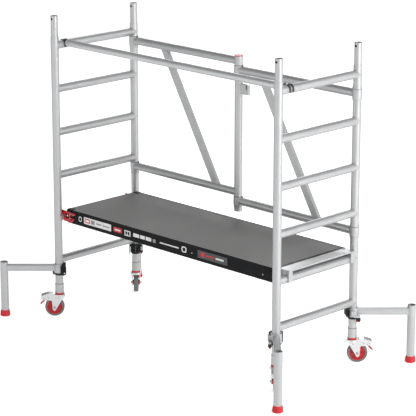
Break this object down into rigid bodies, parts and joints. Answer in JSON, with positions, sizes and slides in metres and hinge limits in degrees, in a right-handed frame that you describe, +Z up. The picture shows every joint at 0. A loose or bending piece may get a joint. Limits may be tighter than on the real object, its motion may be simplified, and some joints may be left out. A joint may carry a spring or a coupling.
{
  "type": "mobile tower scaffold",
  "caption": "Low aluminium mobile tower scaffold with ladder end frames, folding rear brace, hooked-on deck and guardrail, swinging outriggers and braked castors.",
  "frame": {"origin": "on the floor, at the centre of the four uprights", "axes": "+X along the deck from the hooked end with red claws, +Y to the folding rear brace, +Z up; the guardrail is on the -Y side"},
  "size_m": [2.484, 1.244, 1.9685],
  "materials": {
    "aluminium": "satin extruded tube, natural anodised",
    "zinc": "bright zinc plated pressing",
    "red_plastic": "moulded red plastic",
    "black_plastic": "moulded black plastic",
    "grey_plastic": "dark grey moulded collar",
    "tyre_grey": "grey non-marking rubber",
    "red_rubber": "red moulded rubber foot",
    "deck": "film-faced plywood, grey-brown slip-resistant face",
    "black_beam": "black coated extrusion",
    "steel": "steel rivets"
  },
  "bodies": {
    "end_frames": {"left_end_frame": "aluminium", "right_end_frame": "aluminium", "frame_spigots": "aluminium", "spigot_buttons": "black_plastic", "stem_sleeves": "aluminium", "seal_rings": "red_plastic", "support_collars": "grey_plastic", "hinge_collars": "aluminium"},
    "rear_left_panel": {"rear_left_panel": "aluminium", "centre_post": "aluminium", "post_caps": "red_plastic"},
    "rear_right_panel": {"rear_right_panel": "aluminium"},
    "platform": {"deck_board": "deck", "side_beam_front": "black_beam", "side_beam_rear": "black_beam", "left_end_trim": "black_plastic", "right_end_profile": "aluminium", "left_claws": "red_plastic", "right_claws": "aluminium", "platform_rivets": "steel"},
    "guardrail": {"guardrail_tube": "aluminium", "guardrail_hooks": "aluminium"},
    "castor_front_left": {"castor_fork_front_left": "zinc"},
    "wheel_front_left": {"castor_hub_front_left": "red_plastic", "castor_tyre_front_left": "tyre_grey"},
    "pedal_front_left": {"castor_pedal_front_left": "red_plastic"},
    "outrigger_front_left": {"outrigger_arm_front_left": "aluminium", "outrigger_foot_front_left": "red_rubber", "outrigger_clamp_front_left": "aluminium"},
    "handle_front_left": {"outrigger_handle_front_left": "black_plastic"},
    "knob_front_left": {"outrigger_knob_front_left": "black_plastic"},
    "castor_front_right": {"castor_fork_front_right": "zinc"},
    "wheel_front_right": {"castor_hub_front_right": "red_plastic", "castor_tyre_front_right": "tyre_grey"},
    "pedal_front_right": {"castor_pedal_front_right": "red_plastic"},
    "outrigger_front_right": {"outrigger_arm_front_right": "aluminium", "outrigger_foot_front_right": "red_rubber", "outrigger_clamp_front_right": "aluminium"},
    "handle_front_right": {"outrigger_handle_front_right": "black_plastic"},
    "knob_front_right": {"outrigger_knob_front_right": "black_plastic"},
    "castor_rear_left": {"castor_fork_rear_left": "zinc"},
    "wheel_rear_left": {"castor_hub_rear_left": "red_plastic", "castor_tyre_rear_left": "tyre_grey"},
    "pedal_rear_left": {"castor_pedal_rear_left": "red_plastic"},
    "outrigger_rear_left": {"outrigger_arm_rear_left": "aluminium", "outrigger_foot_rear_left": "red_rubber", "outrigger_clamp_rear_left": "aluminium"},
    "handle_rear_left": {"outrigger_handle_rear_left": "black_plastic"},
    "knob_rear_left": {"outrigger_knob_rear_left": "black_plastic"},
    "castor_rear_right": {"castor_fork_rear_right": "zinc"},
    "wheel_rear_right": {"castor_hub_rear_right": "red_plastic", "castor_tyre_rear_right": "tyre_grey"},
    "pedal_rear_right": {"castor_pedal_rear_right": "red_plastic"},
    "outrigger_rear_right": {"outrigger_arm_rear_right": "aluminium", "outrigger_foot_rear_right": "red_rubber", "outrigger_clamp_rear_right": "aluminium"},
    "handle_rear_right": {"outrigger_handle_rear_right": "black_plastic"},
    "knob_rear_right": {"outrigger_knob_rear_right": "black_plastic"}
  },
  "joints": [
    {"name": "swivel_front_left", "type": "hinge", "parent": "end_frames", "child": "castor_front_left", "pos_m": [-0.958, -0.338, 0.2], "axis": [0, 0, 1], "continuous": true},
    {"name": "wheel_spin_front_left", "type": "hinge", "parent": "castor_front_left", "child": "wheel_front_left", "pos_m": [-0.98063, -0.36063, 0.0625], "axis": [0.7071, -0.7071, 0], "continuous": true},
    {"name": "brake_pedal_front_left", "type": "hinge", "parent": "castor_front_left", "child": "pedal_front_left", "pos_m": [-1.02305, -0.40305, 0.121], "axis": [0.7071, -0.7071, 0], "range_deg": [0, 15]},
    {"name": "outrigger_swing_front_left", "type": "hinge", "parent": "end_frames", "child": "outrigger_front_left", "pos_m": [-0.958, -0.338, 0.32], "axis": [0, 0, 1], "range_deg": [-45, 45]},
    {"name": "clamp_handle_front_left", "type": "hinge", "parent": "outrigger_front_left", "child": "handle_front_left", "pos_m": [-0.93608, -0.31608, 0.34], "axis": [0.7071, -0.7071, 0], "range_deg": [-60, 60]},
    {"name": "release_knob_front_left", "type": "slide", "parent": "outrigger_front_left", "child": "knob_front_left", "axis": [0, 0, -1], "range_m": [0, 0.006], "stiffness_N_per_m": 500},
    {"name": "swivel_front_right", "type": "hinge", "parent": "end_frames", "child": "castor_front_right", "pos_m": [0.958, -0.338, 0.2], "axis": [0, 0, 1], "continuous": true},
    {"name": "wheel_spin_front_right", "type": "hinge", "parent": "castor_front_right", "child": "wheel_front_right", "pos_m": [0.98063, -0.36063, 0.0625], "axis": [0.7071, 0.7071, 0], "continuous": true},
    {"name": "brake_pedal_front_right", "type": "hinge", "parent": "castor_front_right", "child": "pedal_front_right", "pos_m": [1.02305, -0.40305, 0.121], "axis": [0.7071, 0.7071, 0], "range_deg": [0, 15]},
    {"name": "outrigger_swing_front_right", "type": "hinge", "parent": "end_frames", "child": "outrigger_front_right", "pos_m": [0.958, -0.338, 0.32], "axis": [0, 0, 1], "range_deg": [-45, 45]},
    {"name": "clamp_handle_front_right", "type": "hinge", "parent": "outrigger_front_right", "child": "handle_front_right", "pos_m": [0.93608, -0.31608, 0.34], "axis": [0.7071, 0.7071, 0], "range_deg": [-60, 60]},
    {"name": "release_knob_front_right", "type": "slide", "parent": "outrigger_front_right", "child": "knob_front_right", "axis": [0, 0, -1], "range_m": [0, 0.006], "stiffness_N_per_m": 500},
    {"name": "swivel_rear_left", "type": "hinge", "parent": "end_frames", "child": "castor_rear_left", "pos_m": [-0.958, 0.338, 0.2], "axis": [0, 0, 1], "continuous": true},
    {"name": "wheel_spin_rear_left", "type": "hinge", "parent": "castor_rear_left", "child": "wheel_rear_left", "pos_m": [-0.98063, 0.36063, 0.0625], "axis": [-0.7071, -0.7071, 0], "continuous": true},
    {"name": "brake_pedal_rear_left", "type": "hinge", "parent": "castor_rear_left", "child": "pedal_rear_left", "pos_m": [-1.02305, 0.40305, 0.121], "axis": [-0.7071, -0.7071, 0], "range_deg": [0, 15]},
    {"name": "outrigger_swing_rear_left", "type": "hinge", "parent": "end_frames", "child": "outrigger_rear_left", "pos_m": [-0.958, 0.338, 0.32], "axis": [0, 0, 1], "range_deg": [-45, 45]},
    {"name": "clamp_handle_rear_left", "type": "hinge", "parent": "outrigger_rear_left", "child": "handle_rear_left", "pos_m": [-0.93608, 0.31608, 0.34], "axis": [-0.7071, -0.7071, 0], "range_deg": [-60, 60]},
    {"name": "release_knob_rear_left", "type": "slide", "parent": "outrigger_rear_left", "child": "knob_rear_left", "axis": [0, 0, -1], "range_m": [0, 0.006], "stiffness_N_per_m": 500},
    {"name": "swivel_rear_right", "type": "hinge", "parent": "end_frames", "child": "castor_rear_right", "pos_m": [0.958, 0.338, 0.2], "axis": [0, 0, 1], "continuous": true},
    {"name": "wheel_spin_rear_right", "type": "hinge", "parent": "castor_rear_right", "child": "wheel_rear_right", "pos_m": [0.98063, 0.36063, 0.0625], "axis": [-0.7071, 0.7071, 0], "continuous": true},
    {"name": "brake_pedal_rear_right", "type": "hinge", "parent": "castor_rear_right", "child": "pedal_rear_right", "pos_m": [1.02305, 0.40305, 0.121], "axis": [-0.7071, 0.7071, 0], "range_deg": [0, 15]},
    {"name": "outrigger_swing_rear_right", "type": "hinge", "parent": "end_frames", "child": "outrigger_rear_right", "pos_m": [0.958, 0.338, 0.32], "axis": [0, 0, 1], "range_deg": [-45, 45]},
    {"name": "clamp_handle_rear_right", "type": "hinge", "parent": "outrigger_rear_right", "child": "handle_rear_right", "pos_m": [0.93608, 0.31608, 0.34], "axis": [-0.7071, 0.7071, 0], "range_deg": [-60, 60]},
    {"name": "release_knob_rear_right", "type": "slide", "parent": "outrigger_rear_right", "child": "knob_rear_right", "axis": [0, 0, -1], "range_m": [0, 0.006], "stiffness_N_per_m": 500},
    {"name": "left_panel_fold", "type": "hinge", "parent": "end_frames", "child": "rear_left_panel", "pos_m": [-0.958, 0.338, 1.3], "axis": [0, 0, -1], "range_deg": [0, 80]},
    {"name": "right_panel_fold", "type": "hinge", "parent": "rear_left_panel", "child": "rear_right_panel", "pos_m": [-0.0076, 0.338, 1.25], "axis": [0, 0, -1], "range_deg": [-160, 0]},
    {"name": "platform_lift", "type": "slide", "parent": "end_frames", "child": "platform", "axis": [0, 0, 1], "range_m": [0, 0.03]},
    {"name": "guardrail_lift", "type": "slide", "parent": "end_frames", "child": "guardrail", "axis": [0, 0, 1], "range_m": [0, 0.25]}
  ],
  "couplings": [
    {"joint": "right_panel_fold", "follows": "left_panel_fold", "ratio": -2}
  ]
}
